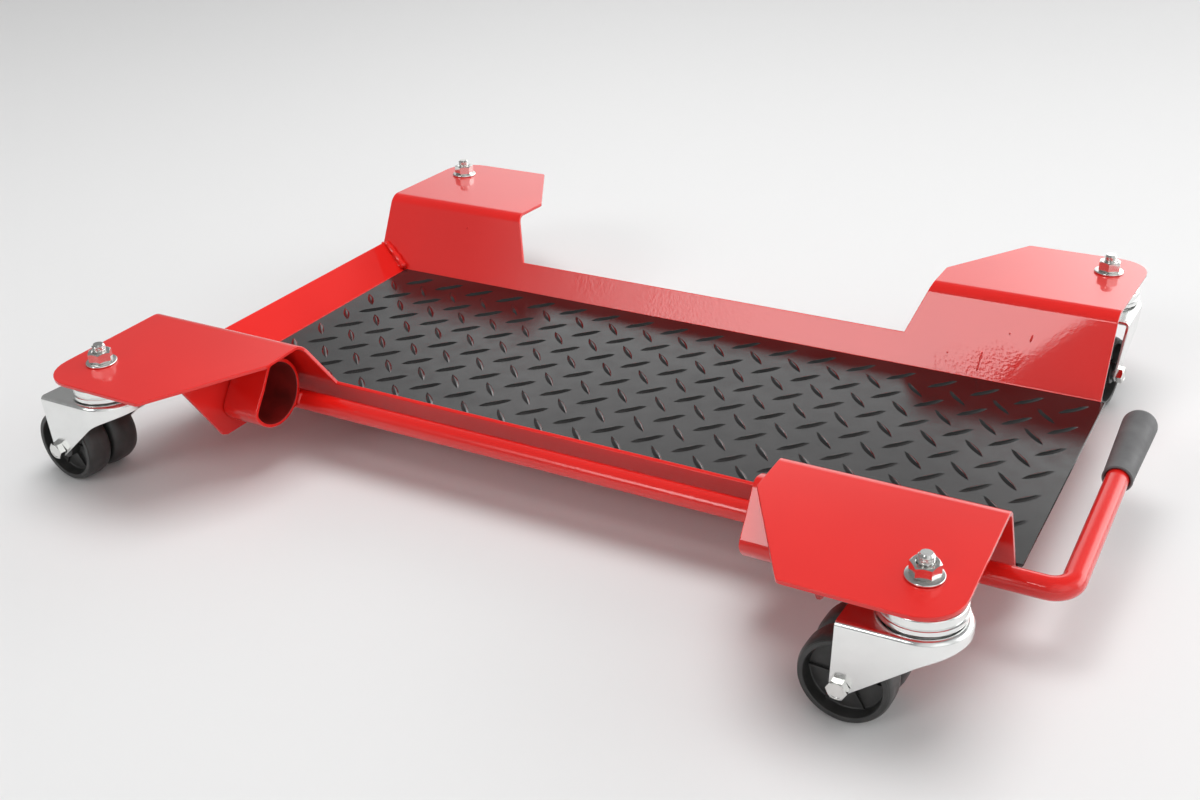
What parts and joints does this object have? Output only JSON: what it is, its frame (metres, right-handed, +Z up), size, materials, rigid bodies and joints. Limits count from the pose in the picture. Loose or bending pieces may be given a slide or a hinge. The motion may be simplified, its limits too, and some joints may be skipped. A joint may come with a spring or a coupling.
{
  "type": "motorcycle stand dolly",
  "caption": "Low steel tray on swivel castors for rolling a parked motorcycle about, with a cranked lever that presses flattened tubes onto the floor to park it.",
  "frame": {"origin": "on the floor under the middle of the whole object's box", "axes": "+X along the tray to the lever end, +Y to the back, +Z up"},
  "size_m": [0.794, 0.5726, 0.118],
  "materials": {
    "red_paint": "glossy red powder coat",
    "zinc": "bright zinc plate",
    "wheel_plastic": "black moulded plastic",
    "mat_rubber": "dark grey ribbed mat with raised lozenges",
    "grip_rubber": "matt dark grey sleeve"
  },
  "bodies": {
    "tray": {"tray_pan": "red_paint", "end_plate": "red_paint", "tread_mat": "mat_rubber", "gusset_front_left": "red_paint", "gusset_front_right": "red_paint", "gusset_rear_left": "red_paint", "gusset_rear_right": "red_paint", "washer_front_left": "zinc", "nut_front_left": "zinc", "swivel_bolt_front_left": "zinc", "upper_race_front_left": "zinc", "washer_front_right": "zinc", "nut_front_right": "zinc", "swivel_bolt_front_right": "zinc", "upper_race_front_right": "zinc", "washer_rear_left": "zinc", "nut_rear_left": "zinc", "swivel_bolt_rear_left": "zinc", "upper_race_rear_left": "zinc", "washer_rear_right": "zinc", "nut_rear_right": "zinc", "swivel_bolt_rear_right": "zinc", "upper_race_rear_right": "zinc"},
    "lever": {"lever_bar": "red_paint", "lever_grip": "grip_rubber", "parking_tube_left": "red_paint", "parking_tube_right": "red_paint"},
    "swivel_front_left": {"lower_race_front_left": "zinc", "ball_ring_front_left": "zinc", "fork_front_left": "zinc", "axle_bolt_front_left": "zinc", "axle_nut_front_left": "zinc"},
    "wheel_front_left_outer": {"wheel_front_left_outer": "wheel_plastic"},
    "wheel_front_left_inner": {"wheel_front_left_inner": "wheel_plastic"},
    "swivel_front_right": {"lower_race_front_right": "zinc", "ball_ring_front_right": "zinc", "fork_front_right": "zinc", "axle_bolt_front_right": "zinc", "axle_nut_front_right": "zinc"},
    "wheel_front_right_outer": {"wheel_front_right_outer": "wheel_plastic"},
    "wheel_front_right_inner": {"wheel_front_right_inner": "wheel_plastic"},
    "swivel_rear_left": {"lower_race_rear_left": "zinc", "ball_ring_rear_left": "zinc", "fork_rear_left": "zinc", "axle_bolt_rear_left": "zinc", "axle_nut_rear_left": "zinc"},
    "wheel_rear_left_outer": {"wheel_rear_left_outer": "wheel_plastic"},
    "wheel_rear_left_inner": {"wheel_rear_left_inner": "wheel_plastic"},
    "swivel_rear_right": {"lower_race_rear_right": "zinc", "ball_ring_rear_right": "zinc", "fork_rear_right": "zinc", "axle_bolt_rear_right": "zinc", "axle_nut_rear_right": "zinc"},
    "wheel_rear_right_outer": {"wheel_rear_right_outer": "wheel_plastic"},
    "wheel_rear_right_inner": {"wheel_rear_right_inner": "wheel_plastic"}
  },
  "joints": [
    {"name": "lever_park", "type": "hinge", "parent": "tray", "child": "lever", "pos_m": [-0.00348, -0.152, 0.05], "axis": [1, 0, 0], "range_deg": [0, 123]},
    {"name": "swivel_turn_front_left", "type": "hinge", "parent": "tray", "child": "swivel_front_left", "pos_m": [-0.32748, -0.248, 0], "axis": [0, 0, 1], "continuous": true},
    {"name": "spin_front_left_outer", "type": "hinge", "parent": "swivel_front_left", "child": "wheel_front_left_outer", "pos_m": [-0.36392, -0.24596, 0.03], "axis": [0.0558, 0.9984, 0], "continuous": true},
    {"name": "spin_front_left_inner", "type": "hinge", "parent": "swivel_front_left", "child": "wheel_front_left_inner", "pos_m": [-0.36392, -0.24596, 0.03], "axis": [0.0558, 0.9984, 0], "continuous": true},
    {"name": "swivel_turn_front_right", "type": "hinge", "parent": "tray", "child": "swivel_front_right", "pos_m": [0.32052, -0.248, 0], "axis": [0, 0, 1], "continuous": true},
    {"name": "spin_front_right_outer", "type": "hinge", "parent": "swivel_front_right", "child": "wheel_front_right_outer", "pos_m": [0.28404, -0.24698, 0.03], "axis": [0.0279, 0.9996, 0], "continuous": true},
    {"name": "spin_front_right_inner", "type": "hinge", "parent": "swivel_front_right", "child": "wheel_front_right_inner", "pos_m": [0.28404, -0.24698, 0.03], "axis": [0.0279, 0.9996, 0], "continuous": true},
    {"name": "swivel_turn_rear_left", "type": "hinge", "parent": "tray", "child": "swivel_rear_left", "pos_m": [-0.32748, 0.248, 0], "axis": [0, 0, 1], "continuous": true},
    {"name": "spin_rear_left_outer", "type": "hinge", "parent": "swivel_rear_left", "child": "wheel_rear_left_outer", "pos_m": [-0.36056, 0.23257, 0.03], "axis": [-0.4226, 0.9063, 0], "continuous": true},
    {"name": "spin_rear_left_inner", "type": "hinge", "parent": "swivel_rear_left", "child": "wheel_rear_left_inner", "pos_m": [-0.36056, 0.23257, 0.03], "axis": [-0.4226, 0.9063, 0], "continuous": true},
    {"name": "swivel_turn_rear_right", "type": "hinge", "parent": "tray", "child": "swivel_rear_right", "pos_m": [0.32052, 0.248, 0], "axis": [0, 0, 1], "continuous": true},
    {"name": "spin_rear_right_outer", "type": "hinge", "parent": "swivel_rear_right", "child": "wheel_rear_right_outer", "pos_m": [0.31671, 0.2117, 0.03], "axis": [-0.9945, 0.1045, 0], "continuous": true},
    {"name": "spin_rear_right_inner", "type": "hinge", "parent": "swivel_rear_right", "child": "wheel_rear_right_inner", "pos_m": [0.31671, 0.2117, 0.03], "axis": [-0.9945, 0.1045, 0], "continuous": true}
  ]
}
